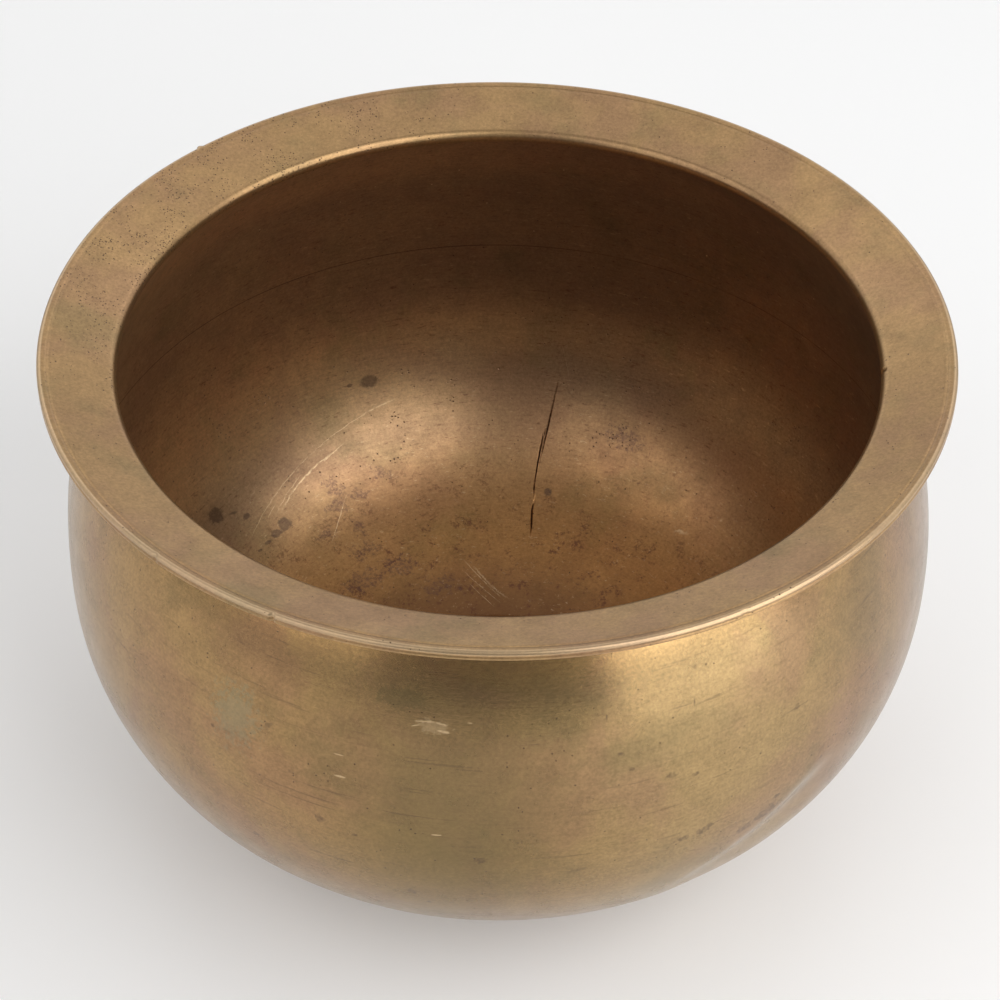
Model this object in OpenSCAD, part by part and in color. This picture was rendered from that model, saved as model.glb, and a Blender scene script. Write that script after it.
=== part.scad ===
// Brass urli bowl: a deep round-bellied bowl with a wide rim that slopes down into the mouth.
// Three turned pieces, all round about the Z axis: the lower bowl, the shoulder with the rim on
// it, and the thin ring of brazing metal in the lapped joint between them. Nothing on it moves.
// The origin is the centre of the flat base, and +Z points up, out of the mouth.

/* [Whole bowl] */
// Height from the flat base to the top of the rim
total_h = 188; // [182:1:196]
// Outer diameter of the rim
rim_d = 300; // [298:1:308]
// Narrowest diameter of the mouth
mouth_d = 252; // [244:1:258]
// Thickness of the wall
wall_t = 3.5; // [2.6:0.1:4.2]

/* [Belly] */
// Outer diameter of the belly at its widest
belly_d = 299; // [294:1:304]
// Height of the belly's widest line above the base
widest_h = 102; // [98:1:106]
// Radius of the belly's side, below its widest line
side_r = 94; // [88:1:98]
// Radius of the rounded bottom
bottom_r = 210; // [206:1:225]
// Thickness of the metal under the flat floor
floor_t = 4.2; // [3.6:0.1:6]

/* [Rim] */
// Slope of the rim's top, falling towards the mouth, in degrees
rim_slope = 18.5; // [14:0.5:22]
// Height of the rim's outer edge
edge_h = 3.3; // [2.9:0.1:4.2]
// Radius of the rim's upper outer corner
edge_r = 1.2; // [0.8:0.1:1.4]
// Radius of the rounded edge of the mouth
mouth_edge_r = 3.2; // [2:0.1:5]
// Radius of the curve under the rim, where it meets the shoulder
under_rim_r = 5; // [3:0.5:8]
// Distance from the rim's edge to the turned line on its top
line_in = 3.2; // [2.8:0.1:4.5]
// Width of the turned line
line_w = 0.9; // [0.6:0.1:1.4]
// Depth of the turned line
line_depth = 0.25; // [0.1:0.05:0.4]

/* [Brazed joint] */
// Height of the joint's inner line above the belly's widest line
seam_above = 14; // [10:1:24]
// Height over which the two edges lap
lap_h = 5; // [3:0.5:7]
// Thickness of the brazing metal
braze_t = 0.4; // [0.3:0.05:0.6]

/* [Hidden] */
$fn = 180;

// Straight steps along each round stretch of an outline
arc_steps = 16;

rim_r = rim_d / 2;
mouth_r = mouth_d / 2;
belly_r = belly_d / 2;

// The rim's top runs straight from its outer corner to the rounded edge of the mouth
rim_dir = -polar(rim_slope);
rim_normal = polar(90 + rim_slope);
edge_c = [rim_r - edge_r, total_h - edge_r];
mouth_dx = mouth_r + mouth_edge_r - edge_c.x;
mouth_dz = (edge_r - mouth_edge_r + sin(rim_slope) * mouth_dx) / cos(rim_slope);
mouth_c = edge_c + [mouth_dx, mouth_dz];

// Centres of the belly's side and bottom, each as [radius from the axis, height]
side_c = [belly_r - side_r, widest_h];
bottom_c = [0, widest_h + sqrt(pow(bottom_r - side_r, 2) - pow(side_c.x, 2))];
bottom_to_side = atan2(side_c.y - bottom_c.y, side_c.x);

// The shoulder is the arc that leaves the belly upright and runs into the edge of the mouth
mouth_inset = mouth_c.x - belly_r;
mouth_rise = mouth_c.y - widest_h;
edge_over_wall = mouth_edge_r - wall_t;
shoulder_r = (pow(mouth_inset, 2) + pow(mouth_rise, 2) - pow(edge_over_wall, 2))
    / (2 * (edge_over_wall - mouth_inset));
shoulder_c = [belly_r - shoulder_r, widest_h];
mouth_a = atan2(mouth_c.y - shoulder_c.y, mouth_c.x - shoulder_c.x);

// The bottom arc is cut off flat, outside by the base and inside by the floor
base_a = -asin(bottom_c.y / bottom_r);
inner_bottom_r = bottom_r - wall_t;
floor_a = -asin((bottom_c.y - floor_t) / inner_bottom_r);

// The rim's underside is parallel to its top, and a small lip runs round its outer edge
lip_in = 0.5;
lip_h = 0.9;
under_edge = [rim_r - lip_in, total_h - edge_h];
under_start = under_edge - under_rim_r * rim_normal - shoulder_c;
under_along = under_start * rim_dir;
under_reach = pow(shoulder_r + under_rim_r, 2) - under_start * under_start;
under_run = -under_along - sqrt(pow(under_along, 2) + under_reach);
under_c = shoulder_c + under_start + under_run * rim_dir;
under_a = atan2(under_c.y - shoulder_c.y, under_c.x - shoulder_c.x);

// The joint: the bowl's edge rises inside, and the shoulder's edge comes down outside
seam_a = asin(seam_above / shoulder_r);
lap_a = lap_h / shoulder_r * 180 / PI;
film_a = braze_t / shoulder_r * 180 / PI;
inner_r = shoulder_r - wall_t;
lap_in = inner_r + (wall_t - braze_t) / 2;
lap_out = lap_in + braze_t;

function polar(a) = [cos(a), sin(a)];

// Points on an arc about c, from angle a to angle b
function arc(c, r, a, b) = [for (i = [0:arc_steps]) c + r * polar(a + (b - a) * i / arc_steps)];

// A point of the joint, at a radius and an angle about the shoulder's centre
function at(r, a) = shoulder_c + r * polar(a);

// The point on the rim's top at a distance in from its outer edge, sunk by a depth
function rim_top(from_edge, depth = 0) =
    let (start = edge_c + edge_r * rim_normal, run = from_edge - (rim_r - start.x))
    start + run / cos(rim_slope) * rim_dir - depth * rim_normal;

// The lower bowl: flat base, rounded bottom, and the belly up to the joint
module lower_bowl() {
    color([0.60, 0.46, 0.28])
    rotate_extrude()
    polygon(concat(
        [[0, 0]],
        arc(bottom_c, bottom_r, base_a, bottom_to_side),
        arc(side_c, side_r, bottom_to_side, 0),
        arc(shoulder_c, shoulder_r, 0, seam_a - lap_a),
        [at(lap_in, seam_a - lap_a), at(lap_in, seam_a - film_a)],
        arc(shoulder_c, inner_r, seam_a - film_a, 0),
        arc(side_c, side_r - wall_t, 0, bottom_to_side),
        arc(bottom_c, inner_bottom_r, bottom_to_side, floor_a),
        [[0, floor_t]]
    ));
}

// The brazing metal: a film through the lapped joint, filed flush on both sides
module braze_seam() {
    color([0.70, 0.55, 0.30])
    rotate_extrude()
    polygon([
        at(inner_r, seam_a),
        at(inner_r, seam_a - film_a),
        at(lap_in, seam_a - film_a),
        at(lap_in, seam_a - lap_a),
        at(shoulder_r, seam_a - lap_a),
        at(shoulder_r, seam_a - lap_a + film_a),
        at(lap_out, seam_a - lap_a + film_a),
        at(lap_out, seam_a)
    ]);
}

// The shoulder and the wide rim, with the turned line on its top and the lip round its edge
module shoulder_and_rim() {
    color([0.68, 0.55, 0.38])
    rotate_extrude()
    polygon(concat(
        [at(lap_out, seam_a), at(lap_out, seam_a - lap_a + film_a)],
        arc(shoulder_c, shoulder_r, seam_a - lap_a + film_a, under_a),
        arc(under_c, under_rim_r, 180 + under_a, 90 + rim_slope),
        [under_edge, [rim_r, under_edge.y + lip_in], [rim_r, under_edge.y + lip_h]],
        [[rim_r - lip_in / 2, under_edge.y + lip_h + lip_in]],
        arc(edge_c, edge_r, 0, 90 + rim_slope),
        [rim_top(line_in - line_w / 2), rim_top(line_in, line_depth), rim_top(line_in + line_w / 2)],
        arc(mouth_c, mouth_edge_r, 90 + rim_slope, 180 + mouth_a),
        arc(shoulder_c, inner_r, mouth_a, seam_a)
    ));
}

lower_bowl();
braze_seam();
shoulder_and_rim();
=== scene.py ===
import math

import bpy
import numpy as np
from mathutils import Matrix, Vector


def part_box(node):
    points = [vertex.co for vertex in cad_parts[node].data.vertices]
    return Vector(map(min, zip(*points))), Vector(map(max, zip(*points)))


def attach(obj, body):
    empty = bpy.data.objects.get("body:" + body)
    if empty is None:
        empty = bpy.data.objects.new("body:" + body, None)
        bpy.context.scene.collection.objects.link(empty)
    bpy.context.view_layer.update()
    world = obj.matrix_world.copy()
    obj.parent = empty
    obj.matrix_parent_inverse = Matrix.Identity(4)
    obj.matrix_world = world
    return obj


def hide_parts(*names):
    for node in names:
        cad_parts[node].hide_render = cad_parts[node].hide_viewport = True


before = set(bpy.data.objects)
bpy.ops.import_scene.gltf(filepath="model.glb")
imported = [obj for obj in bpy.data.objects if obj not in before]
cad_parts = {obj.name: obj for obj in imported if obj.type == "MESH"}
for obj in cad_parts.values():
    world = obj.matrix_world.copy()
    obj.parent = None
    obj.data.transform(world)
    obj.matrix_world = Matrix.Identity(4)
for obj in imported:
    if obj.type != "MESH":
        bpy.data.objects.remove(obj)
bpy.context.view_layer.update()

# Brass urli bowl. Three closed turned shells stand for the three CAD nodes: lower_bowl,
# braze_seam and shoulder_and_rim. Lengths are in metres. A place on the bowl is given by its
# direction round the Z axis in degrees, from +X towards +Y, and its height above the base.

MM = 0.001

# ---------------------------------------------------------------- sizes, from the frame

rim_low, rim_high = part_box("shoulder_and_rim")
bowl_low, bowl_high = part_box("lower_bowl")
seam_low, seam_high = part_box("braze_seam")

# The real vessel wanders from round, so it is drawn a little smaller to stay inside the CAD box
DRAWN = 0.995

TOP_Z = rim_high.z
RIM_R = 0.5 * (rim_high.x - rim_low.x)
BELLY_R = 0.5 * (bowl_high.x - bowl_low.x)
MOUTH_R = 0.84 * RIM_R
WIDEST_Z = 0.5426 * TOP_Z
SIDE_R = 94 * MM
BOTTOM_R = 210 * MM
WALL = 3.5 * MM
FLOOR_T = 4.2 * MM

RIM_SLOPE = math.radians(18.5)
EDGE_H = 3.3 * MM
EDGE_R = 1.2 * MM
LIP_IN = 0.5 * MM
LIP_H = 0.9 * MM
MOUTH_EDGE_R = 3.2 * MM
UNDER_RIM_R = 5 * MM
LINE_IN = 3.2 * MM
LINE_W = 0.9 * MM
LINE_DEPTH = 0.13 * MM
BRAZE_T = 0.4 * MM
# The flat middles of the base and of the floor inside close with a fan of this radius
HUB_R = 4 * MM


def polar(angle):
    """The unit direction at an angle, in the (away from the axis, up) plane."""
    return np.array([math.cos(angle), math.sin(angle)])


# Centres of the outline's arcs, as (away from the axis, up), and the angles where the arcs meet
edge_c = np.array([RIM_R - EDGE_R, TOP_Z - EDGE_R])
rim_dir = -polar(RIM_SLOPE)
rim_normal = polar(math.pi / 2 + RIM_SLOPE)
mouth_dx = MOUTH_R + MOUTH_EDGE_R - edge_c[0]
mouth_dz = (EDGE_R - MOUTH_EDGE_R + math.sin(RIM_SLOPE) * mouth_dx) / math.cos(RIM_SLOPE)
mouth_c = edge_c + np.array([mouth_dx, mouth_dz])

side_c = np.array([BELLY_R - SIDE_R, WIDEST_Z])
bottom_c = np.array([0.0, WIDEST_Z + math.sqrt((BOTTOM_R - SIDE_R) ** 2 - side_c[0] ** 2)])
bottom_to_side = math.atan2(side_c[1] - bottom_c[1], side_c[0])

mouth_inset = mouth_c[0] - BELLY_R
mouth_rise = mouth_c[1] - WIDEST_Z
edge_over_wall = MOUTH_EDGE_R - WALL
mouth_reach = mouth_inset**2 + mouth_rise**2 - edge_over_wall**2
SHOULDER_R = mouth_reach / (2 * (edge_over_wall - mouth_inset))
shoulder_c = np.array([BELLY_R - SHOULDER_R, WIDEST_Z])
mouth_a = math.atan2(mouth_c[1] - shoulder_c[1], mouth_c[0] - shoulder_c[0])

base_a = -math.asin(bottom_c[1] / BOTTOM_R)
inner_bottom_r = BOTTOM_R - WALL
floor_a = -math.asin((bottom_c[1] - FLOOR_T) / inner_bottom_r)

under_edge = np.array([RIM_R - LIP_IN, TOP_Z - EDGE_H])
under_start = under_edge - UNDER_RIM_R * rim_normal - shoulder_c
under_along = float(under_start @ rim_dir)
under_reach = (SHOULDER_R + UNDER_RIM_R) ** 2 - float(under_start @ under_start)
under_run = -under_along - math.sqrt(under_along**2 + under_reach)
under_c = shoulder_c + under_start + under_run * rim_dir
under_a = math.atan2(under_c[1] - shoulder_c[1], under_c[0] - shoulder_c[0])

inner_r = SHOULDER_R - WALL
lap_in = inner_r + (WALL - BRAZE_T) / 2
lap_out = lap_in + BRAZE_T
seam_a = math.asin((seam_high.z - WIDEST_Z) / lap_out)
lap_a = seam_a - math.asin((seam_low.z - WIDEST_Z) / SHOULDER_R)
film_a = BRAZE_T / SHOULDER_R


# ---------------------------------------------------------------- outlines


def on_arc(centre, radius, angle):
    """The point of an arc at an angle from level."""
    return np.asarray(centre) + radius * polar(angle)


def arc(centre, radius, start, end, step):
    """Points on an arc, about step apart."""
    count = max(2, math.ceil(abs(end - start) * radius / step))
    return [on_arc(centre, radius, start + (end - start) * i / count) for i in range(count + 1)]


def line(start, end, step):
    """Points on a straight stretch, about step apart."""
    start, end = np.asarray(start, float), np.asarray(end, float)
    count = max(1, math.ceil(np.linalg.norm(end - start) / step))
    return [start + (end - start) * i / count for i in range(count + 1)]


def joined(*stretches):
    """One outline from stretches that meet end to end."""
    points = []
    for stretch in stretches:
        for point in np.asarray(stretch, float):
            if not points or np.linalg.norm(point - points[-1]) > 1e-6:
                points.append(point)
    return np.array(points)


def rim_top(from_edge, depth=0.0):
    """The point of the rim's sloping top at a distance in from its outer edge, sunk by depth."""
    start = edge_c + EDGE_R * rim_normal
    run = (from_edge - (RIM_R - start[0])) / math.cos(RIM_SLOPE)
    return start + run * rim_dir - depth * rim_normal


def lower_bowl_outline():
    """From the middle of the base, up the outside, through the lap, and down the inside."""
    step = 1.9 * MM
    base_edge = on_arc(bottom_c, BOTTOM_R, base_a)
    floor_edge = on_arc(bottom_c, inner_bottom_r, floor_a)
    lap_low = seam_a - lap_a
    lap_top = seam_a - film_a
    return joined(
        line((HUB_R, 0), base_edge, 4 * MM),
        arc(bottom_c, BOTTOM_R, base_a, bottom_to_side, step),
        arc(side_c, SIDE_R, bottom_to_side, 0, step),
        arc(shoulder_c, SHOULDER_R, 0, lap_low, step),
        [on_arc(shoulder_c, lap_in, lap_low), on_arc(shoulder_c, lap_in, lap_top)],
        arc(shoulder_c, inner_r, lap_top, 0, step),
        arc(side_c, SIDE_R - WALL, 0, bottom_to_side, step),
        arc(bottom_c, inner_bottom_r, bottom_to_side, floor_a, step),
        line(floor_edge, (HUB_R, FLOOR_T), 3 * MM),
    )


def seam_outline():
    """Round the film of brazing metal, as a closed loop."""
    lap_low = seam_a - lap_a
    return joined(
        [
            on_arc(shoulder_c, inner_r, seam_a),
            on_arc(shoulder_c, inner_r, seam_a - film_a),
            on_arc(shoulder_c, lap_in, seam_a - film_a),
            on_arc(shoulder_c, lap_in, lap_low),
            on_arc(shoulder_c, SHOULDER_R, lap_low),
            on_arc(shoulder_c, SHOULDER_R, lap_low + film_a),
            on_arc(shoulder_c, lap_out, lap_low + film_a),
            on_arc(shoulder_c, lap_out, seam_a),
        ]
    )


def rim_outline():
    """Up the outside of the shoulder, round the rim, and down the inside, as a closed loop."""
    wall_step = 1.6 * MM
    fine = 0.35 * MM
    lap_low = seam_a - lap_a + film_a
    under_end = on_arc(under_c, UNDER_RIM_R, math.pi / 2 + RIM_SLOPE)
    corner_end = on_arc(edge_c, EDGE_R, math.pi / 2 + RIM_SLOPE)
    rim_start = rim_top(LINE_IN + LINE_W / 2)
    mouth_start = on_arc(mouth_c, MOUTH_EDGE_R, math.pi / 2 + RIM_SLOPE)
    return joined(
        [on_arc(shoulder_c, lap_out, seam_a), on_arc(shoulder_c, lap_out, lap_low)],
        arc(shoulder_c, SHOULDER_R, lap_low, under_a, wall_step),
        arc(under_c, UNDER_RIM_R, math.pi + under_a, math.pi / 2 + RIM_SLOPE, 0.8 * MM),
        line(under_end, under_edge, 1.2 * MM),
        [under_edge, (RIM_R, under_edge[1] + LIP_IN), (RIM_R, under_edge[1] + LIP_H)],
        [(RIM_R - LIP_IN / 2, under_edge[1] + LIP_H + LIP_IN)],
        arc(edge_c, EDGE_R, 0, math.pi / 2 + RIM_SLOPE, fine),
        line(corner_end, rim_top(LINE_IN - LINE_W / 2), fine),
        [rim_top(LINE_IN - LINE_W / 4, LINE_DEPTH), rim_top(LINE_IN + LINE_W / 4, LINE_DEPTH)],
        line(rim_start, mouth_start, 0.9 * MM),
        arc(mouth_c, MOUTH_EDGE_R, math.pi / 2 + RIM_SLOPE, math.pi + mouth_a, 0.45 * MM),
        arc(shoulder_c, inner_r, mouth_a, seam_a, wall_step),
    )


# ---------------------------------------------------------------- the vessel's own shape


def smooth(value, low, high):
    """0 below low, 1 above high, and a smooth rise between."""
    t = np.clip((value - low) / (high - low), 0.0, 1.0)
    return t * t * (3 - 2 * t)


def waves(turn, parts):
    """Sum of (times round, cosine size, sine size) in millimetres."""
    total = np.zeros_like(turn)
    for times, cosine, sine in parts:
        total += cosine * np.cos(times * turn) + sine * np.sin(times * turn)
    return total * MM


def out_of_round(turn, radius, height):
    """How far the wall stands out from a true round, and how far the rim stands up."""
    belly = waves(turn, [(1, 0.4, 0.05), (2, -1.0, -0.05)])
    mouth = waves(turn, [(1, 0.35, 0.1), (2, -0.3, 0.2), (3, -0.3, 0.45)])
    rim = waves(turn, [(2, 0.1, 0.05), (3, -0.45, 0.4)])
    up = smooth(height, WIDEST_Z, TOP_Z - 12 * MM)
    down = smooth(height, 0.0, WIDEST_Z)
    across = smooth(radius, MOUTH_R, RIM_R)
    out = belly * (1 - up) * down + up * (mouth * (1 - across) + rim * across)
    rise = up * waves(turn, [(2, -0.35, -0.55)])
    return out, rise


def hammered(turn, height):
    """The slow unevenness that the hammer and the lathe left, as a seeded sum of waves."""
    rng = np.random.default_rng(7)
    total = np.zeros_like(turn)
    for _ in range(14):
        times = rng.integers(2, 12)
        steps = rng.uniform(-5, 5)
        phase = rng.uniform(0, 2 * math.pi)
        total += np.sin(times * turn + steps * math.pi * height / TOP_Z + phase)
    return total * 0.022 * MM


def apart(turn, azimuth):
    """Angle from a direction in degrees to each turn in radians, the short way round."""
    return (turn - math.radians(azimuth) + math.pi) % (2 * math.pi) - math.pi


# A long dent low on the belly, below a crease from one place to another: (direction, height)
CREASE_START = (-65.0, 64 * MM)
CREASE_END = (-46.5, 97 * MM)
DENT_DEPTH = 1.9 * MM


def dent(turn, height):
    """How far the wall is pushed in by the dent."""
    run = math.radians(CREASE_END[0] - CREASE_START[0]) * BELLY_R
    climb = CREASE_END[1] - CREASE_START[1]
    length = math.hypot(run, climb)
    side = apart(turn, CREASE_START[0]) * BELLY_R
    up = height - CREASE_START[1]
    along = (side * run + up * climb) / length
    below = (side * climb - up * run) / length
    ends = smooth(along, -12 * MM, 16 * MM) * (1 - smooth(along, length - 14 * MM, length + 12 * MM))
    across = smooth(below, -4 * MM, 8 * MM) * (1 - smooth(below, 8 * MM, 30 * MM))
    return DENT_DEPTH * ends * across


# Two strands of the crack in the far wall, then its dotted lower end: (height, direction, width)
CRACK = (
    ((56, 79.9, 0.15), (48, 80.4, 0.25), (42, 80.8, 0.38), (37, 81.2, 0.3), (32.5, 81.6, 0.15)),
    ((43, 80.9, 0.15), (40, 81.4, 0.35), (36, 81.7, 0.45), (32, 81.9, 0.4), (28, 82.05, 0.2)),
    ((27.2, 82.1, 0.3), (26.2, 82.0, 0.4), (25.4, 81.9, 0.2)),
    ((23.2, 81.5, 0.3), (22, 81.9, 0.4), (20, 81.6, 0.5), (18, 81.3, 0.3)),
)
CRACK_DEPTH = 0.9 * MM
LIP_PROUD = 0.25 * MM
# The way into the metal where the crack is, as (away from the axis, up)
INTO_WALL = (0.73, -0.68)


def crack(turn, radius, height):
    """How deep the crack is, from 0 to 1, and how far its lip stands up, from 0 to 1."""
    deep = np.zeros_like(turn)
    lip = np.zeros_like(turn)
    for strand in CRACK:
        heights = np.array([knot[0] for knot in strand[::-1]]) * MM
        azimuths = [knot[1] for knot in strand[::-1]]
        widths = np.array([knot[2] for knot in strand[::-1]]) * MM
        middle = np.interp(height, heights, azimuths)
        width = np.interp(height, heights, widths)
        within = smooth(height, heights[0] - 1.2 * MM, heights[0] + 0.6 * MM)
        within = within * (1 - smooth(height, heights[-1] - 0.6 * MM, heights[-1] + 1.2 * MM))
        off = apart(turn, 0) * radius - np.radians(middle) * radius
        deep = np.maximum(deep, within * (1 - smooth(np.abs(off), 0.15 * width, 0.75 * width)))
        ridge = smooth(off, -2.6 * MM, -0.6 * width) * (1 - smooth(off, -0.6 * width, 0))
        lip = np.maximum(lip, within * ridge * smooth(width, 0.3 * MM, 0.8 * MM))
    return deep, lip


# Knocks round the rim: (direction, degrees wide, outward size in mm, on the outer edge or not)
KNOCKS = (
    (136.2, 0.55, 0.9, True),
    (-115.6, 0.5, -0.6, True),
    (-132.6, 0.5, -0.3, True),
    (-4.3, 0.8, -0.5, False),
    (-61.5, 0.7, -0.25, True),
)


def knocks(turn, radius, height):
    """Nicks and one burr on the rim's outer edge and on the edge of the mouth."""
    total = np.zeros_like(turn)
    near_top = smooth(height, 0.97 * TOP_Z, 0.98 * TOP_Z)
    at_edge = smooth(radius, RIM_R - 2 * MM, RIM_R - 0.6 * MM) * near_top
    at_mouth = 1 - smooth(np.hypot(radius - MOUTH_R, height - mouth_c[1]), 2 * MM, 4 * MM)
    for azimuth, wide, size, outer in KNOCKS:
        wide = math.radians(wide)
        near = 1 - smooth(np.abs(apart(turn, azimuth)), 0.1 * wide, wide)
        total += size * MM * near * (at_edge if outer else -at_mouth)
    return total


def sculpt(turn, radius, height):
    """Moves the places of a true round to where the real, worn metal lies."""
    out, rise = out_of_round(turn, radius, height)
    out = out + hammered(turn, height) * smooth(radius, 40 * MM, 100 * MM)
    out = out - dent(turn, height) + knocks(turn, radius, height)
    return (radius + out) * DRAWN, (height + rise) * DRAWN


# ---------------------------------------------------------------- turned meshes


SHARP_TURN = math.radians(32)


def corner_rings(points, closed):
    """Which points of an outline are corners, where the shading has to break."""
    back = points - np.roll(points, 1, axis=0)
    fore = np.roll(points, -1, axis=0) - points
    turn = np.abs(np.arctan2(back[:, 0] * fore[:, 1] - back[:, 1] * fore[:, 0], (back * fore).sum(1)))
    sharp = turn > SHARP_TURN
    if not closed:
        sharp[0] = sharp[-1] = False
    return sharp


def directions(count, fine_spots):
    """Directions round the axis, evenly spaced but for extra ones at (middle, half width, count)."""
    turns = [np.linspace(-180, 180, count, endpoint=False)]
    for middle, half, extra in fine_spots:
        turns.append(np.linspace(middle - half, middle + half, extra))
    turns = np.unique(np.round(np.concatenate(turns), 2))
    kept = np.insert(np.diff(turns) > 0.04, 0, True)
    return np.radians(turns[kept])


def lengths_along(points):
    """How far along an outline each of its points lies."""
    return np.concatenate([[0.0], np.cumsum(np.linalg.norm(np.diff(points, axis=0), axis=1))])


def turned(name, points, closed, turns, paint):
    """A closed mesh, turned from an outline, with its corners marked and its metal sculpted.
    paint is a list of (material, ring from which it is used). The crack is cut only into rings
    of the last material, which is the inside's wherever the crack passes."""
    rings, around = len(points), len(turns)
    along = lengths_along(points)
    turn, radius = np.meshgrid(turns, points[:, 0])
    height = np.repeat(points[:, 1:2], around, axis=1)
    inner = (np.arange(rings) > paint[-1][1])[:, None]
    deep, lip = crack(turn, radius, height)
    deep, lip = deep * inner, lip * inner
    radius, height = sculpt(turn, radius, height)
    sunk = deep * CRACK_DEPTH - lip * LIP_PROUD
    radius = radius + sunk * INTO_WALL[0]
    height = height + sunk * INTO_WALL[1]
    verts = np.stack([radius * np.cos(turn), radius * np.sin(turn), height], axis=-1).reshape(-1, 3)
    faces, slots = [], []
    for ring in range(rings if closed else rings - 1):
        above = (ring + 1) % rings
        slot = max(k for k, (_, first) in enumerate(paint) if ring >= first)
        for i in range(around):
            j = (i + 1) % around
            faces.append((ring * around + i, ring * around + j, above * around + j, above * around + i))
            slots.append(slot)
    verts = verts.tolist()
    if not closed:
        for ring, slot in ((0, 0), (rings - 1, len(paint) - 1)):
            middle = len(verts)
            verts.append((0.0, 0.0, float(height[ring].mean())))
            for i in range(around):
                a, b = ring * around + i, ring * around + (i + 1) % around
                faces.append((a, b, middle) if ring else (b, a, middle))
                slots.append(slot)
    mesh = bpy.data.meshes.new(name)
    mesh.from_pydata(verts, [], faces)
    for material, _ in paint:
        mesh.materials.append(material)
    mesh.polygons.foreach_set("material_index", slots)
    mesh.polygons.foreach_set("use_smooth", [True] * len(mesh.polygons))
    mark_corners(mesh, corner_rings(points, closed), around)
    ends = [] if closed else [0.0, float(along[-1])]
    write_values(mesh, "along", np.append(np.repeat(along, around), ends))
    write_values(mesh, "crack", np.append(deep.ravel(), [0.0] * len(ends)))
    piece = bpy.data.objects.new(name, mesh)
    bpy.context.scene.collection.objects.link(piece)
    return piece


def write_values(mesh, name, values):
    """Keeps one number for each point of a mesh, for its materials to read."""
    data = mesh.attributes.new(name, "FLOAT", "POINT").data
    data.foreach_set("value", values.astype(np.float32))


def mark_corners(mesh, corners, around):
    """Marks as sharp the edges that run round the bowl along a corner of the outline."""
    ends = np.empty(len(mesh.edges) * 2, int)
    mesh.edges.foreach_get("vertices", ends)
    ring = ends.reshape(-1, 2) // around
    known = np.append(corners, [False])
    level = np.minimum(ring[:, 0], len(corners))
    sharp = (ring[:, 0] == ring[:, 1]) & known[level]
    data = mesh.attributes.new("sharp_edge", "BOOLEAN", "EDGE").data
    data.foreach_set("value", sharp)


# ---------------------------------------------------------------- materials


def rgb(red, green, blue):
    return (red, green, blue, 1.0)


WHITE = rgb(1, 1, 1)


class Graph:
    """Short calls that add shader nodes to one material and give back the output wanted."""

    def __init__(self, name):
        self.material = bpy.data.materials.new(name)
        self.material.use_nodes = True
        self.nodes = self.material.node_tree.nodes
        self.links = self.material.node_tree.links
        self.shader = self.nodes["Principled BSDF"]

    def add(self, kind, inputs, **settings):
        """A new node with its settings, and its inputs set or linked."""
        node = self.nodes.new(kind)
        for key, value in settings.items():
            setattr(node, key, value)
        for key, value in inputs.items():
            self.put(node.inputs[key], value)
        return node

    def put(self, socket, value):
        if isinstance(value, bpy.types.NodeSocket):
            self.links.new(value, socket)
        else:
            socket.default_value = value

    def math(self, operation, a, b=0.0, c=0.0):
        node = self.add("ShaderNodeMath", {0: a, 1: b, 2: c}, operation=operation)
        return node.outputs[0]

    def vector(self, operation, a, b=(0, 0, 0)):
        node = self.add("ShaderNodeVectorMath", {0: a, 1: b}, operation=operation)
        gives_number = operation in ("LENGTH", "DOT_PRODUCT", "DISTANCE")
        return node.outputs["Value" if gives_number else "Vector"]

    def ramp(self, value, low, high, to_low=0.0, to_high=1.0):
        """A smooth step from to_low at low to to_high at high."""
        inputs = {"Value": value, "From Min": low, "From Max": high}
        inputs.update({"To Min": to_low, "To Max": to_high})
        return self.add("ShaderNodeMapRange", inputs, interpolation_type="SMOOTHSTEP").outputs[0]

    def noise(self, where, scale, detail=3.0, roughness=0.55, distortion=0.0):
        """Smooth noise, with scale in waves per metre."""
        inputs = {"Vector": where, "Scale": scale, "Detail": detail, "Roughness": roughness}
        inputs["Distortion"] = distortion
        return self.add("ShaderNodeTexNoise", inputs).outputs["Fac"]

    def blend(self, share, a, b):
        """Colour a where share is 0, b where it is 1."""
        node = self.add("ShaderNodeMix", {}, data_type="RGBA")
        self.put(node.inputs[0], share)
        self.put(node.inputs[6], a)
        self.put(node.inputs[7], b)
        return node.outputs[2]

    def attribute(self, name):
        """A number that the mesh keeps for each point."""
        return self.add("ShaderNodeAttribute", {}, attribute_name=name).outputs["Fac"]

    def across_and_height(self, place):
        """How far a place is to the right of the axis, and how high."""
        parts = self.add("ShaderNodeSeparateXYZ", {"Vector": place})
        return parts.outputs["X"], parts.outputs["Z"]

    def times(self, a, b):
        return self.math("MULTIPLY", a, b)

    def swing(self, noise, amount, middle):
        """A value that swings by amount about a middle, as noise does about a half."""
        return self.math("MULTIPLY_ADD", self.math("SUBTRACT", noise, 0.5), amount, middle)

    def tinted(self, colour, tint, share=None):
        """A colour times a tint, or times as much of the tint as share says."""
        if share is not None:
            tint = self.blend(share, WHITE, tint)
        return self.vector("MULTIPLY", colour, tint)

    def scaled(self, colour, amount):
        node = self.add("ShaderNodeVectorMath", {0: colour, "Scale": amount}, operation="SCALE")
        return node.outputs[0]

    def overlaid(self, colour, share, strength, stain):
        """A colour with another laid over it where share is 1, as strong as strength says. It lays on
        stains and pits, and also painted light and shade.
        """
        return self.blend(self.times(share, strength), colour, stain)


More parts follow.
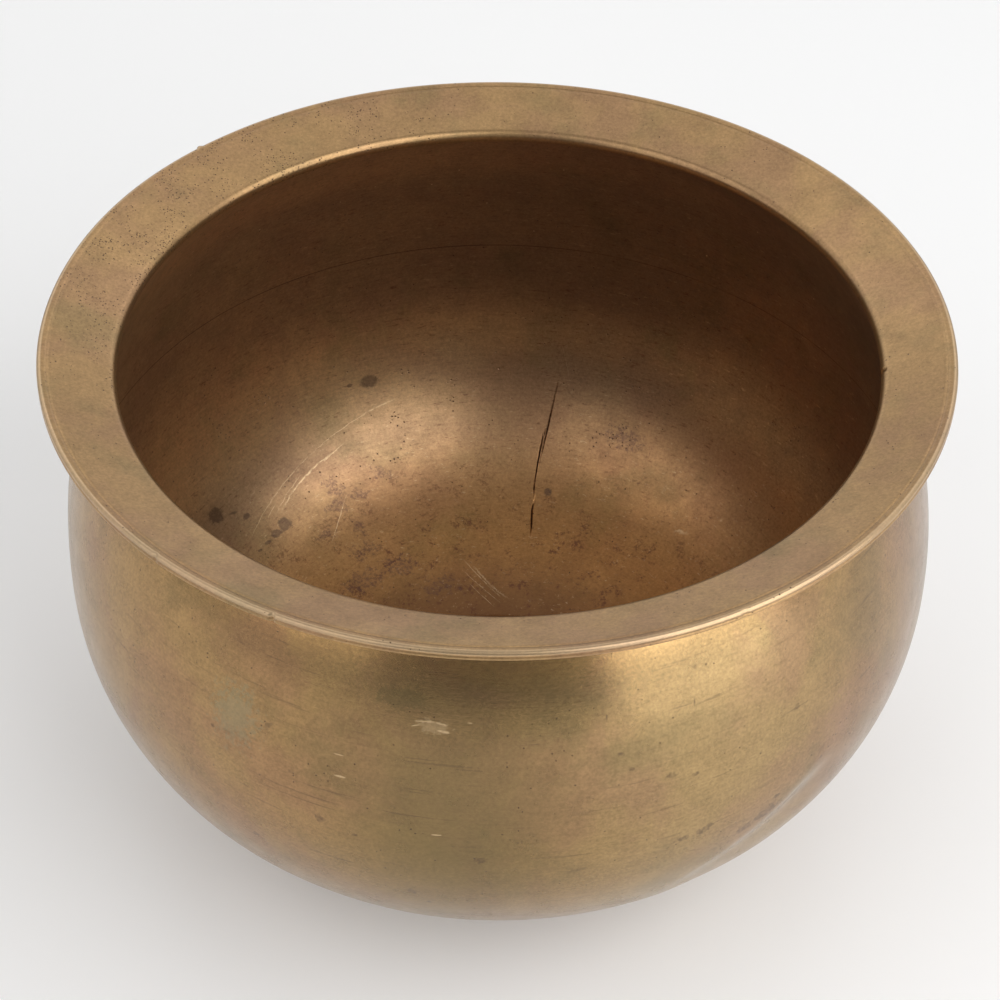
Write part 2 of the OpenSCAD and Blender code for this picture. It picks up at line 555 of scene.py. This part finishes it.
def on_wall(azimuth, height, inside):
    """The place on the bowl's wall in a direction in degrees, at a height in millimetres."""
    height *= MM
    depth = WALL if inside else 0.0
    if height > WIDEST_Z:
        centre, radius = shoulder_c, SHOULDER_R - depth
    elif height > side_c[1] + SIDE_R * math.sin(bottom_to_side):
        centre, radius = side_c, SIDE_R - depth
    else:
        centre, radius = bottom_c, BOTTOM_R - depth
    away = centre[0] + math.sqrt(radius**2 - (height - centre[1]) ** 2)
    turn = np.array([math.radians(azimuth)])
    away, height = sculpt(turn, np.array([away]), np.array([height]))
    return Vector((away[0] * math.cos(turn[0]), away[0] * math.sin(turn[0]), height[0]))


def sweep(g, place, around, across):
    """Coordinates that follow the lathe. around sets the detail round the bowl, across the detail
    the other way."""
    turn = g.vector("NORMALIZE", g.vector("MULTIPLY", place, (1, 1, 0)))
    up = g.add("ShaderNodeCombineXYZ", {"Z": g.times(g.attribute("along"), across)}).outputs[0]
    return g.vector("ADD", g.vector("MULTIPLY", turn, (around, around, 0)), up)


def mark(g, place, shape, inside, wobble, ragged, reach=(1.15, 0.75)):
    """1 inside a ragged oval mark, 0 outside. shape is (direction, height in mm, length and width
    in mm, degrees that the length is turned up from level). The mark fades out between the two
    shares of its half size in reach."""
    azimuth, height, length, width, tilt = shape
    middle = on_wall(azimuth, height, inside)
    level = on_wall(azimuth + 1, height, inside) - on_wall(azimuth - 1, height, inside)
    upward = on_wall(azimuth, height + 1, inside) - on_wall(azimuth, height - 1, inside)
    level, upward = level.normalized(), upward.normalized()
    tilt = math.radians(tilt)
    long_way = level * math.cos(tilt) + upward * math.sin(tilt)
    out = long_way.cross(upward * math.cos(tilt) - level * math.sin(tilt))
    frame_turn = Matrix((long_way, out.cross(long_way), out)).transposed().to_euler()
    half = Vector((length, width, length)) * 0.5 * MM
    inputs = {"Vector": place, "Location": middle, "Rotation": frame_turn, "Scale": half}
    own = g.add("ShaderNodeMapping", inputs, vector_type="TEXTURE").outputs[0]
    return g.ramp(g.swing(wobble, ragged, g.vector("LENGTH", own)), *reach)


def marks(g, place, shapes, inside, wobble, ragged):
    """1 inside any of several marks."""
    return most(g, [mark(g, place, shape, inside, wobble, ragged) for shape in shapes])


def scratch(g, place, path, wobble):
    """The path's strength along a fine line inside, through its three places (direction, height),
    0 elsewhere."""
    first, middle, last = (on_wall(azimuth, height, True) for azimuth, height in path[:3])
    width, strength = path[3:]
    normal = (middle - first).cross(last - first).normalized()
    off = g.math("SUBTRACT", g.vector("DOT_PRODUCT", place, normal), first.dot(normal))
    off = g.swing(wobble, 1.2 * MM, off)
    streak = g.ramp(g.math("ABSOLUTE", off), 0.5 * width * MM, 0.05 * width * MM)
    reach = 0.5 * (last - first).length
    near = g.ramp(g.vector("DISTANCE", place, (first + last) / 2), 1.05 * reach, 0.45 * reach)
    broken = g.ramp(wobble, 0.40, 0.52, 0.15, strength)
    return g.times(g.times(streak, near), broken)


def most(g, masks):
    """The highest of several masks."""
    total = masks[0]
    for mask in masks[1:]:
        total = g.math("MAXIMUM", total, mask)
    return total


def pits(g, place, apart_mm, size, share):
    """Small pits, about apart_mm between them, each size of that wide, in a share of the cells."""
    cells = g.add("ShaderNodeTexVoronoi", {"Vector": place, "Scale": 1 / (apart_mm * MM)})
    lot = g.add("ShaderNodeSeparateColor", {"Color": cells.outputs["Color"]}).outputs[0]
    hole = g.ramp(cells.outputs["Distance"], size, 0.4 * size)
    return g.times(hole, g.math("LESS_THAN", lot, share))


def aged_brass(name, tones, mottle, streaky, roughness, metallic):
    """Old turned brass before its marks: mottled tones, fine grain and turning streaks.
    Gives the graph, the place, the colour, the roughness and the height for the bump."""
    g = Graph(name)
    place = g.add("ShaderNodeTexCoord", {}).outputs["Object"]
    clear, ruddy, olive = tones
    warm = g.ramp(g.noise(place, 26.0, 6.0, 0.62, 0.4), 0.40, 0.62)
    green = g.noise(g.vector("ADD", place, (0.3, 0.1, 0.7)), 33.0, 5.0, 0.6)
    colour = g.overlaid(clear, warm, mottle, ruddy)
    colour = g.overlaid(colour, g.ramp(green, 0.50, 0.68), mottle, olive)
    cloud = g.noise(g.vector("ADD", place, (0.9, 0.4, 0.2)), 90.0, 6.0, 0.68)
    grain = g.noise(place, 900.0, 3.0, 0.75)
    streak = g.noise(sweep(g, place, 9.0, 1300.0), 1.0, 3.0, 0.6)
    light = g.swing(cloud, 0.55, 1.0)
    light = g.swing(grain, 0.95, light)
    light = g.swing(streak, streaky, light)
    colour = g.scaled(colour, light)
    rough = g.swing(cloud, -0.22, roughness)
    bump = g.math("MULTIPLY_ADD", streak, streaky, g.times(grain, 0.7))
    g.shader.inputs["Metallic"].default_value = metallic
    return g, place, colour, rough, bump


# The thin film of wax and grime over the metal, and how far the relief stands
COAT = 0.2
COAT_ROUGHNESS = 0.3
RELIEF = 0.06 * MM
HOLE_DEPTH = 3.0


def finished(g, colour, rough, bump, holes):
    """Joins the colour, the gloss and the relief to the shader. Holes are sunk by the bump."""
    relief = g.math("SUBTRACT", bump, g.times(holes, HOLE_DEPTH))
    node = g.add("ShaderNodeBump", {"Strength": 0.5, "Distance": RELIEF, "Height": relief})
    g.put(g.shader.inputs["Base Color"], colour)
    g.put(g.shader.inputs["Roughness"], rough)
    g.shader.inputs["Coat Weight"].default_value = COAT
    g.shader.inputs["Coat Roughness"].default_value = COAT_ROUGHNESS
    g.put(g.shader.inputs["Normal"], node.outputs["Normal"])
    return g.material


# Linear colours of the metal, its patina and its dirt, and of painted light and shade
GOLD = rgb(0.428, 0.264, 0.118)
RUDDY = rgb(0.370, 0.215, 0.112)
OLIVE = rgb(0.315, 0.212, 0.095)
OUTER_GOLD = rgb(0.324, 0.199, 0.083)
OUTER_RUDDY = rgb(0.290, 0.160, 0.080)
OUTER_OLIVE = rgb(0.240, 0.156, 0.066)
INNER_GOLD = rgb(0.395, 0.248, 0.130)
INNER_RUDDY = rgb(0.355, 0.212, 0.116)
INNER_OLIVE = rgb(0.318, 0.210, 0.106)
RUSSET = rgb(0.185, 0.080, 0.030)
DARK = rgb(0.066, 0.033, 0.018)
PALE = rgb(0.800, 0.580, 0.330)
STAIN = rgb(0.090, 0.053, 0.036)
VERDIGRIS = rgb(0.270, 0.250, 0.150)
DARK_OLIVE = rgb(0.165, 0.123, 0.052)
ROSE = rgb(0.420, 0.240, 0.160)
FILLER = rgb(0.190, 0.115, 0.062)
OXBLOOD = rgb(0.120, 0.040, 0.022)
PLUM = rgb(0.120, 0.058, 0.044)
# A painted highlight for the rim's rounded corner
CORNER_HIGHLIGHT = rgb(0.780, 0.600, 0.400)
CRACK_PAINTED_SHADE = rgb(0.012, 0.007, 0.004)

# Each surface's clear, ruddy and olive tones
RIM_TONES = (GOLD, RUDDY, OLIVE)
OUTER_TONES = (OUTER_GOLD, OUTER_RUDDY, OUTER_OLIVE)
INNER_TONES = (INNER_GOLD, INNER_RUDDY, INNER_OLIVE)
BRAZE_TONES = (FILLER, STAIN, INNER_OLIVE)

# How the tones change from place to place, as red, green and blue factors. The side, band and
# top tints are painted light and shade, with some shift of hue; INNER_LOW_TINT makes the inside
# redder and a little darker towards its floor.
OUTER_LEFT_PAINTED_LIGHT = rgb(1.13, 1.13, 1.12)
OUTER_MIDDLE_TINT = rgb(0.99, 1.02, 1.00)
OUTER_RIGHT_PAINTED_LIGHT = rgb(1.18, 1.29, 1.38)
OUTER_FAR_RIGHT_TINT = rgb(1.00, 1.01, 1.05)
OUTER_TOP_PAINTED_LIGHT = rgb(1.30, 1.24, 1.18)
INNER_LEFT_HIGH_TINT = rgb(1.05, 1.06, 1.05)
INNER_LEFT_LOW_TINT = rgb(0.98, 0.98, 0.98)
INNER_RIGHT_HIGH_PAINTED_SHADE = rgb(0.71, 0.78, 0.88)
INNER_RIGHT_LOW_TINT = rgb(1.02, 0.89, 0.74)
INNER_BAND_PAINTED_HIGHLIGHT = rgb(1.42, 1.43, 1.36)
INNER_LOW_TINT = rgb(1.05, 0.88, 0.58)
INNER_TOP_PAINTED_LIGHT = rgb(1.36, 1.25, 1.17)

# Marks on the outside: (direction, height, length and width in mm, degrees turned up from level)
OUTER_STAINS = (
    (-110.9, 105.5, 3.6, 3.0, 0), (-120.9, 82.4, 3.0, 2.4, 20), (-91.7, 98.4, 3.4, 2.6, 0),
    (-100.1, 76.3, 3.4, 2.8, 0), (-98.0, 69.2, 1.8, 1.4, 0), (-106.6, 102.3, 1.8, 1.2, 0),
    (-118.2, 135.2, 2.4, 1.8, 0), (-114.9, 121.1, 1.8, 1.4, 0), (-126.3, 124.5, 1.8, 1.5, 0),
    (-130.2, 98.7, 1.7, 1.5, 0), (-136.4, 88.7, 1.7, 1.5, 0), (-64.9, 158.8, 1.8, 1.4, 0),
    (-68.9, 124.8, 3.4, 2.2, 0), (-65.6, 122.5, 2.2, 1.6, 0), (-75.1, 136.9, 2.2, 1.4, 0),
    (-73.8, 131.1, 2.0, 1.4, 0), (-50.8, 129.9, 2.6, 2.0, 0), (-46.1, 100.5, 1.8, 1.5, 0),
    (-55.0, 89.8, 9.0, 5.0, 20), (-58.0, 86.5, 6.0, 3.5, 20), (-53.5, 95.6, 3.0, 1.8, 15),
    (-64.0, 96.3, 6.0, 2.8, 25), (-67.0, 95.4, 4.2, 2.6, 0), (-65.4, 147.8, 0.5, 2.8, 0),
    (-76.6, 150.0, 0.5, 2.2, 0),
)
OUTER_STREAKS = (
    (-79.8, 91.2, 8.0, 1.2, 8), (-96.5, 136.0, 22.0, 0.8, 0), (-99.0, 137.2, 12.0, 0.5, 1),
    (-93.0, 134.9, 10.0, 0.5, -1), (-118.0, 103.0, 14.0, 0.6, -2), (-70.0, 112.0, 16.0, 0.6, 2),
)
OUTER_BRIGHT = (
    (-98.2, 149.9, 7.0, 0.7, 4), (-96.6, 149.7, 4.0, 0.8, -12), (-96.2, 147.2, 4.5, 0.7, -8),
    (-99.6, 148.2, 2.5, 0.4, 20), (-108.5, 125.2, 3.6, 0.7, 3), (-108.6, 133.1, 3.4, 0.35, 0),
    (-96.7, 108.8, 3.0, 0.6, 6), (-93.0, 150.6, 1.6, 0.4, 0),
)
# Broad patches of another tone: (shape as above, raggedness, strength, colour)
OUTER_PATCHES = (
    ((-123, 133, 15, 21, 0), 5.0, 0.42, VERDIGRIS),
    ((-101.5, 156, 16, 7, 0), 3.0, 0.42, DARK_OLIVE),
    ((-97.4, 148.5, 9, 5, 0), 4.0, 0.22, PALE),
    ((-43, 113, 14, 20, 0), 4.0, 0.22, ROSE),
)
# An olive tone over the middle of the front, which fades out widely. It is partly the patina's
# olive hue and partly a painted dark reflection of the unlit space in front of the bowl
FRONT_OLIVE_AND_DARK_REFLECTION = (-95, 110, 60, 96, 0)
FRONT_OLIVE_AND_DARK_REFLECTION_REACH = (1.6, 0.2)


def outside_painted_light(g, place, colour):
    """Painted light: the outside lighter on its left and right sides and just under the rim."""
    across, height = g.across_and_height(place)
    # Painted light on the sides, where the lamps' reflections fall
    tint = g.blend(g.ramp(across, -75 * MM, -20 * MM), OUTER_LEFT_PAINTED_LIGHT, OUTER_MIDDLE_TINT)
    tint = g.blend(g.ramp(across, 0.0, 65 * MM), tint, OUTER_RIGHT_PAINTED_LIGHT)
    tint = g.blend(g.ramp(across, 80 * MM, 118 * MM), tint, OUTER_FAR_RIGHT_TINT)
    colour = g.tinted(colour, tint)
    # Painted light just under the rim
    return g.tinted(colour, OUTER_TOP_PAINTED_LIGHT, g.ramp(height, 158 * MM, 170 * MM))


def outside_brass():
    """The outside of the bowl: painted light and shade, stains, patches, turning lines, pits and bright
    dings.
    """
    g, place, colour, rough, bump = aged_brass("brass_outside", OUTER_TONES, 0.65, 0.26, 0.25, 0.93)
    colour = outside_painted_light(g, place, colour)
    wobble = g.noise(place, 550.0, 5.0, 0.8)
    # Olive patina over the front, darkened further as a painted dark reflection
    olive_and_dark_reflection = mark(g, place, FRONT_OLIVE_AND_DARK_REFLECTION, False, wobble, 0.8, FRONT_OLIVE_AND_DARK_REFLECTION_REACH)
    colour = g.overlaid(colour, olive_and_dark_reflection, 0.55, DARK_OLIVE)
    for shape, ragged, strength, tone in OUTER_PATCHES:
        patch = mark(g, place, shape, False, wobble, ragged)
        colour = g.overlaid(colour, patch, strength, tone)

    streaks = marks(g, place, OUTER_STREAKS, False, wobble, 3.0)
    colour = g.overlaid(colour, streaks, 0.28, STAIN)
    lines = g.noise(g.vector("ADD", sweep(g, place, 4.0, 700.0), (3, 5, 1)), 1.0, 4.0, 0.7)
    colour = g.blend(g.ramp(lines, 0.60, 0.74, 0.0, 0.5), colour, STAIN)
    speckle = g.ramp(g.noise(place, 800.0, 3.0, 0.7), 0.42, 0.58)
    stains = marks(g, place, OUTER_STAINS, False, wobble, 4.0)
    colour = g.overlaid(colour, stains, g.math("MULTIPLY_ADD", speckle, 0.30, 0.28), STAIN)

    crowd = g.ramp(g.noise(place, 60.0, 3.0), 0.50, 0.70, 0.012, 0.12)
    holes = pits(g, place, 1.2, 0.28, crowd)
    colour = g.blend(holes, colour, DARK)
    bright = marks(g, place, OUTER_BRIGHT, False, wobble, 2.4)
    colour = g.overlaid(colour, bright, 0.5, PALE)
    return finished(g, colour, rough, bump, holes)


# The middle of the rim's pitted part, at the back left: (direction, height in mm)
PITTED = (143, 180)


def rim_brass(corner):
    """The rim, pitted at the back left. Its rounded corner, from one length along the outline to
    another, is painted pale: a painted highlight."""
    g, place, colour, rough, bump = aged_brass("brass_rim", RIM_TONES, 0.7, 0.10, 0.34, 0.90)
    along = g.attribute("along")
    # Painted highlight: the rounded outer corner of the rim is painted pale
    corner_highlight = g.ramp(along, corner[0] - 0.1 * MM, corner[0] + 0.3 * MM, 0.0, 0.35)
    above = g.ramp(along, corner[1] + 0.2 * MM, corner[1] - 0.5 * MM)
    colour = g.overlaid(colour, corner_highlight, above, CORNER_HIGHLIGHT)

    away = g.vector("DISTANCE", place, on_wall(*PITTED, True))
    back_left = g.math("ADD", g.ramp(away, 120 * MM, 30 * MM), 0.06)
    crowd = g.times(g.ramp(g.noise(place, 75.0, 3.0), 0.40, 0.66), back_left)
    shifted = g.vector("ADD", place, (0.2, 0.5, 0.1))
    large = pits(g, place, 1.15, 0.34, g.times(crowd, 0.7))
    small = pits(g, shifted, 0.8, 0.36, g.times(crowd, 0.4))
    holes = most(g, [large, small])
    colour = g.overlaid(colour, holes, 0.9, DARK)
    return finished(g, colour, rough, bump, holes)


# Marks inside: (direction, height, length and width in mm, degrees turned up from level)
INNER_STAINS = (
    (112.2, 62.0, 7.4, 5.4, 0), (115.6, 62.4, 2.2, 1.4, 0), (149.3, 45.7, 7.4, 6.6, 0),
    (145.9, 42.6, 4.5, 1.2, 20), (143.9, 39.4, 3.4, 2.4, 0), (137.8, 31.6, 6.4, 5.6, 0),
    (140.6, 30.9, 5.4, 3.2, 10), (143.6, 30.5, 4.0, 1.5, 10), (146.2, 30.3, 2.4, 1.0, 10),
    (78.8, 25.8, 3.2, 3.2, 0),
)
INNER_CLOUDS = (
    (124.9, 34.2, 9, 6, 60), (125.6, 29.0, 9, 6, 40), (130.7, 24.6, 9, 5, 0), (120.0, 30.0, 8, 5, 0),
    (114.0, 33.2, 9, 4, 30), (123.6, 23.0, 9, 5, 80), (124.6, 18.6, 12, 6, 0), (118.0, 14.0, 14, 8, 10),
    (130.0, 14.0, 18, 9, 0), (109.0, 9.0, 14, 8, 0), (66.0, 44.0, 16, 9, 0),
)
INNER_DOTS = (
    (108.6, 46.9, 7, 5, 60), (105.7, 56.8, 6, 3, 0), (108.3, 38.7, 6, 6, 0), (110.7, 35.5, 5, 4, 0),
    (105.9, 62.7, 5, 3, 20), (100.5, 48.3, 2, 1.6, 0), (97.9, 30.5, 2, 1.6, 0), (101.2, 39.1, 2, 1.6, 0),
    (108.0, 43.0, 5, 3, 60), (69.0, 41.8, 17, 11, 0), (66.6, 45.0, 12, 7, 0), (85.5, 38.5, 7, 5, 0),
    (86.5, 33.0, 8, 5, 0), (140.0, 66.0, 14, 9, 0), (132.0, 70.0, 12, 7, 0), (98.0, 57.0, 5, 3, 0),
)
# Fine bright lines inside: three places (direction, height), then width in mm and strength
SCRATCHES = (
    ((107.9, 54.2), (111.5, 52.7), (115.0, 51.2), 0.60, 0.85),
    ((110.5, 53.2), (118.0, 49.5), (127.0, 44.4), 0.34, 0.6),
    ((124.0, 46.2), (132.0, 41.8), (140.5, 37.0), 0.36, 0.5),
    ((134.0, 40.8), (140.0, 37.4), (146.5, 33.8), 0.34, 0.4),
    ((119.2, 44.6), (122.0, 42.8), (125.2, 41.0), 0.50, 0.7),
    ((120.5, 43.4), (128.9, 39.8), (137.6, 34.1), 0.42, 0.8),
    ((129.0, 41.2), (133.5, 38.2), (138.4, 34.9), 0.32, 0.5),
    ((137.2, 37.3), (138.9, 36.2), (140.5, 35.2), 0.40, 0.5),
    ((139.1, 44.4), (140.9, 42.6), (142.2, 41.1), 0.34, 0.35),
    ((122.0, 31.6), (126.1, 26.8), (131.6, 22.3), 0.50, 0.6),
    ((100.2, 12.8), (94.2, 8.9), (86.7, 6.2), 0.42, 0.55),
    ((99.5, 8.9), (95.3, 6.9), (90.5, 5.3), 0.40, 0.5),
    ((101.0, 11.0), (95.0, 8.0), (88.0, 5.8), 0.36, 0.5),
    ((98.0, 12.0), (93.0, 8.8), (85.0, 6.3), 0.36, 0.4),
    ((48.7, 26.0), (47.0, 27.1), (45.2, 28.0), 0.34, 0.4),
    ((80.0, 74.0), (78.9, 66.0), (77.7, 57.7), 0.30, 0.25),
)


def inside_tones(g, place, colour):
    """Painted light and shade across the inside and up its wall, and a redder, darker floor."""
    across, height = g.across_and_height(place)
    high = g.ramp(height, 42 * MM, 68 * MM)
    # Painted light and shade: a little lighter high on the left, darker high on the right, with shifts
    # of hue
    left_tint = g.blend(high, INNER_LEFT_LOW_TINT, INNER_LEFT_HIGH_TINT)
    right_tint = g.blend(high, INNER_RIGHT_LOW_TINT, INNER_RIGHT_HIGH_PAINTED_SHADE)
    colour = g.tinted(colour, g.blend(g.ramp(across, 95 * MM, -95 * MM), right_tint, left_tint))
    # Painted highlight: a lighter band up the far wall, from 42 to 112 mm high, towards the left
    highlight_band = g.times(g.ramp(height, 42 * MM, 58 * MM), g.ramp(height, 112 * MM, 70 * MM))
    highlight_band = g.times(highlight_band, g.ramp(across, 40 * MM, -25 * MM))
    colour = g.tinted(colour, INNER_BAND_PAINTED_HIGHLIGHT, highlight_band)
    colour = g.tinted(colour, INNER_LOW_TINT, g.ramp(height, 46 * MM, 12 * MM))
    # Painted light: lighter towards the mouth
    colour = g.tinted(colour, INNER_TOP_PAINTED_LIGHT, g.ramp(height, 148 * MM, 168 * MM))
    return g.blend(g.ramp(height, 17 * MM, 4 * MM, 0.0, 0.8), colour, RUSSET), height


def inside_brass():
    """The inside of the bowl: tool marks, red blotches, stains, pits, scratches and the crack."""
    g, place, colour, rough, bump = aged_brass("brass_inside", INNER_TONES, 0.9, 0.32, 0.35, 0.86)
    colour, height = inside_tones(g, place, colour)
    wobble = g.noise(place, 330.0, 5.0, 0.7)
    flecks = g.noise(sweep(g, place, 34.0, 950.0), 1.0, 4.0, 0.72)
    colour = g.blend(g.ramp(flecks, 0.56, 0.72, 0.0, 0.62), colour, OXBLOOD)
    colour = g.blend(g.ramp(flecks, 0.40, 0.28, 0.0, 0.38), colour, PALE)

    speckle = g.ramp(g.noise(place, 800.0, 3.0, 0.7), 0.44, 0.58)
    blotch = g.ramp(g.noise(place, 130.0, 5.0, 0.7), 0.52, 0.64, 0.0, 0.7)
    blotch = g.times(blotch, g.ramp(height, 55 * MM, 12 * MM))
    colour = g.overlaid(colour, blotch, speckle, OXBLOOD)
    clouds = marks(g, place, INNER_CLOUDS, True, wobble, 5.0)
    colour = g.overlaid(colour, clouds, g.math("MULTIPLY_ADD", speckle, 0.45, 0.15), PLUM)
    stains = marks(g, place, INNER_STAINS, True, wobble, 1.6)
    colour = g.overlaid(colour, stains, g.math("MULTIPLY_ADD", speckle, 0.12, 0.56), STAIN)

    dotted = marks(g, place, INNER_DOTS, True, wobble, 2.0)
    crowd = g.ramp(g.noise(place, 60.0, 3.0), 0.52, 0.70, 0.01, 0.14)
    holes = pits(g, place, 1.3, 0.32, g.math("MULTIPLY_ADD", dotted, 0.45, crowd))
    colour = g.overlaid(colour, holes, 0.85, DARK)
    chips = pits(g, place, 2.6, 0.17, g.ramp(height, 112 * MM, 150 * MM, 0.0, 0.035))
    bright = most(g, [scratch(g, place, path, wobble) for path in SCRATCHES] + [chips])
    colour = g.blend(bright, colour, PALE)
    # Painted shade: the crack is painted near black, for the shade in its depth
    colour = g.blend(g.ramp(g.attribute("crack"), 0.25, 0.8), colour, CRACK_PAINTED_SHADE)
    return finished(g, colour, rough, bump, holes)


def braze_metal():
    """The filler in the joint: duller and browner than the shells, with dirt in its line."""
    g, _, colour, rough, bump = aged_brass("brazing_metal", BRAZE_TONES, 0.6, 0.2, 0.45, 0.9)
    return finished(g, colour, rough, bump, g.times(bump, 0.2))


# ---------------------------------------------------------------- the pieces


def standing_in(piece, node):
    """A visual piece that rides with the bowl in place of one CAD node."""
    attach(piece, "root")
    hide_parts(node)


def ring_at(points, radius, height):
    """The number of the outline's point nearest a place."""
    return int(np.argmin(np.hypot(points[:, 0] - radius, points[:, 1] - height)))


# Where the meshes are finer round the axis: (middle, half width, count), directions in degrees
FINE_AT_CRACK = (81.2, 1.9, 56)
FINE_AT_DENT = (-57, 14, 50)
# The seam's outline comes out of the wall at this point
SEAM_OUTER_RING = 4


def make_bowl():
    outside, inside = outside_brass(), inside_brass()

    points = lower_bowl_outline()
    turns = directions(330, [FINE_AT_CRACK, FINE_AT_DENT])
    lap = ring_at(points, *on_arc(shoulder_c, lap_in, seam_a - film_a))
    paint = [(outside, 0), (inside, lap)]
    standing_in(turned("lower_bowl_shell", points, False, turns, paint), "lower_bowl")

    paint = [(braze_metal(), 0), (outside, SEAM_OUTER_RING)]
    standing_in(turned("braze_ring", seam_outline(), True, turns, paint), "braze_seam")

    points = rim_outline()
    turns = directions(380, [(azimuth, 1.2, 18) for azimuth, _, _, _ in KNOCKS])
    lip = ring_at(points, *under_edge)
    mouth = ring_at(points, *on_arc(mouth_c, MOUTH_EDGE_R, math.pi + mouth_a))
    corner_low = ring_at(points, *on_arc(edge_c, EDGE_R, 0))
    corner_high = ring_at(points, *on_arc(edge_c, EDGE_R, math.pi / 2 + RIM_SLOPE))
    along = lengths_along(points)
    rim = rim_brass((float(along[corner_low]), float(along[corner_high])))
    paint = [(outside, 0), (rim, lip), (inside, mouth)]
    standing_in(turned("shoulder_and_rim_shell", points, True, turns, paint), "shoulder_and_rim")


make_bowl()


# ---------------------------------------------------------------- floor, lights and camera


FLOOR_R = 9 * RIM_R
FLOOR_SIDES = 128
FLOOR_Z = -0.2 * MM


def stage_floor():
    """A plain pale round floor, a hair below the bowl's base so that the two faces never meet."""
    corners = [polar(2 * math.pi * i / FLOOR_SIDES) * FLOOR_R for i in range(FLOOR_SIDES)]
    mesh = bpy.data.meshes.new("floor")
    mesh.from_pydata([(x, y, FLOOR_Z) for x, y in corners], [], [tuple(range(FLOOR_SIDES))])
    g = Graph("pale_floor")
    g.shader.inputs["Base Color"].default_value = rgb(0.86, 0.86, 0.86)
    g.shader.inputs["Roughness"].default_value = 0.9
    g.shader.inputs["Emission Color"].default_value = WHITE
    g.shader.inputs["Emission Strength"].default_value = 0.1
    mesh.materials.append(g.material)
    floor = bpy.data.objects.new("floor", mesh)
    bpy.context.scene.collection.objects.link(floor)


def softbox(name, azimuth, elevation, distance, width, height, brightness):
    """A rectangular light that faces the bowl. Azimuth 0 is in front, on the camera's side.
    Distance, width and height are in rim radii."""
    light = bpy.data.lights.new(name, "AREA")
    light.shape = "RECTANGLE"
    light.size, light.size_y = width * RIM_R, height * RIM_R
    light.energy = brightness * math.pi * light.size * light.size_y
    lamp = bpy.data.objects.new(name, light)
    turn, lift = math.radians(azimuth), math.radians(elevation)
    level = Vector((math.sin(turn), -math.cos(turn), 0))
    towards = level * math.cos(lift) + Vector((0, 0, math.sin(lift)))
    aim = Vector((0, 0, 0.6 * TOP_Z))
    lamp.location = aim + towards * distance * RIM_R
    lamp.rotation_euler = towards.to_track_quat("Z", "Y").to_euler()
    lamp.visible_camera = False
    bpy.context.scene.collection.objects.link(lamp)


def surroundings(brightness, backdrop):
    """Even light from all round. The camera sees it as a pale backdrop, of its own brightness."""
    world = bpy.data.worlds.new("studio")
    bpy.context.scene.world = world
    world.use_nodes = True
    nodes, links = world.node_tree.nodes, world.node_tree.links
    seen = nodes.new("ShaderNodeLightPath").outputs["Is Camera Ray"]
    strength = nodes.new("ShaderNodeMapRange")
    strength.inputs["To Min"].default_value = brightness
    strength.inputs["To Max"].default_value = backdrop
    links.new(seen, strength.inputs["Value"])
    links.new(strength.outputs[0], nodes["Background"].inputs["Strength"])
    nodes["Background"].inputs["Color"].default_value = WHITE


# The camera's place, in rim radii back from the axis and up from the rim's top, and the
# directions it looks in and holds level, all fitted to the outlines of the real bowl
CAMERA_BACK = 4.326
CAMERA_UP = 3.356
CAMERA_AHEAD = (0.0010, 0.7463, -0.6657)
CAMERA_RIGHT = (0.99995, 0.0059, 0.0082)


def camera():
    """The camera stands in front and looks down at the bowl from about 42 degrees."""
    data = bpy.data.cameras.new("camera")
    data.sensor_width = 36
    data.lens = 90
    data.clip_end = 100 * RIM_R
    eye = bpy.data.objects.new("camera", data)
    bpy.context.scene.collection.objects.link(eye)
    bpy.context.scene.camera = eye
    eye.location = Vector((0, -CAMERA_BACK * RIM_R, TOP_Z + CAMERA_UP * RIM_R)) * DRAWN
    eye.rotation_mode = "XYZ"
    ahead = Vector(CAMERA_AHEAD).normalized()
    right = Vector(CAMERA_RIGHT)
    right = (right - ahead * right.dot(ahead)).normalized()
    above = right.cross(ahead)
    turn = Matrix((right, above, -ahead)).transposed()
    eye.rotation_euler = turn.to_euler()


# (name, azimuth, elevation, distance, width, height, brightness), as softbox takes them
LAMPS = (
    ("right_low", 46, 5, 5, 3.9, 2.2, 1.3),
    ("right_softbox", 54, 32, 9, 10.0, 9, 1.9),
    ("right_high", 52, 52, 9, 8, 5, 0.79),
    ("left_low", -54, 10, 9, 9.6, 4, 0.18),
    ("left_softbox", -56, 30, 9, 9.6, 10, 0.72),
    ("left_high", -54, 52, 9, 8, 5, 0.44),
    ("right_strip", 95, 14, 9, 4.6, 4.6, 0.4),
    ("left_strip", -95, 14, 9, 4.6, 4.6, 0.5),
    ("back_right", 135, 32, 9, 8, 7, 0.75),
    ("back_left", -135, 32, 9, 8, 7, 0.72),
    ("back_low", 180, 14, 9, 6, 4.6, 0.66),
    ("back_high", 180, 58, 9, 9, 8, 0.60),
    ("overhead", 0, 88, 9, 6, 6, 0.16),
)

WORLD_BRIGHTNESS = 0.21
BACKDROP_BRIGHTNESS = 0.86

stage_floor()
surroundings(WORLD_BRIGHTNESS, BACKDROP_BRIGHTNESS)
for values in LAMPS:
    softbox(*values)
camera()
bpy.context.scene.view_settings.view_transform = "Standard"
